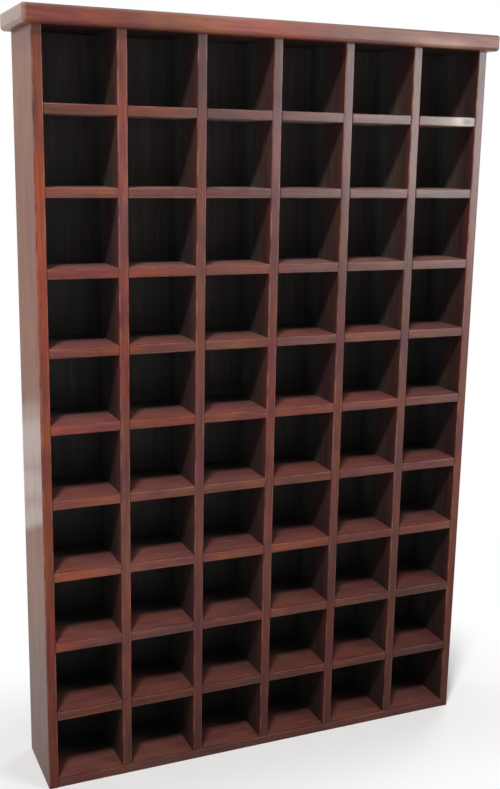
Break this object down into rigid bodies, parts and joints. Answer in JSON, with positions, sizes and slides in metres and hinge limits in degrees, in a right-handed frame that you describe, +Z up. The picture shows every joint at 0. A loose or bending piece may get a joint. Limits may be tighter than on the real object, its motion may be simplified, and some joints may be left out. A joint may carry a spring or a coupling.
{
  "type": "cd rack",
  "caption": "Tall free-standing wooden rack of open square cells for compact discs, with halved shelves and dividers, a boarded back and a thick overhanging top board.",
  "frame": {"origin": "middle of the footprint, overhanging top included, on the surface that the rack stands on", "axes": "+Z up, -Y out of the open front, +Y towards the wall behind, +X to the right seen from the front"},
  "size_m": [1.02, 0.197, 1.562],
  "materials": {
    "top_wood": "semi-gloss reddish mahogany stain on solid wood, rounded edges",
    "side_wood": "semi-gloss reddish mahogany stain, grain upright",
    "divider_wood": "semi-gloss reddish mahogany stain, grain upright",
    "shelf_wood": "semi-gloss reddish mahogany stain, grain along the width",
    "back_wood": "satin dark mahogany stain, upright boards",
    "dowel_wood": "bare beech",
    "screw_steel": "yellow zinc-plated steel"
  },
  "bodies": {
    "root": {"side_left": "side_wood", "side_right": "side_wood", "top_board": "top_wood", "bottom_board": "shelf_wood", "divider_1": "divider_wood", "divider_2": "divider_wood", "divider_3": "divider_wood", "divider_4": "divider_wood", "divider_5": "divider_wood", "shelf_1": "shelf_wood", "shelf_2": "shelf_wood", "shelf_3": "shelf_wood", "shelf_4": "shelf_wood", "shelf_5": "shelf_wood", "shelf_6": "shelf_wood", "shelf_7": "shelf_wood", "shelf_8": "shelf_wood", "shelf_9": "shelf_wood", "back_board_1": "back_wood", "back_board_2": "back_wood", "back_board_3": "back_wood", "back_board_4": "back_wood", "back_board_5": "back_wood", "back_board_6": "back_wood", "top_dowels": "dowel_wood", "bottom_dowels": "dowel_wood", "back_screws": "screw_steel"}
  },
  "joints": []
}
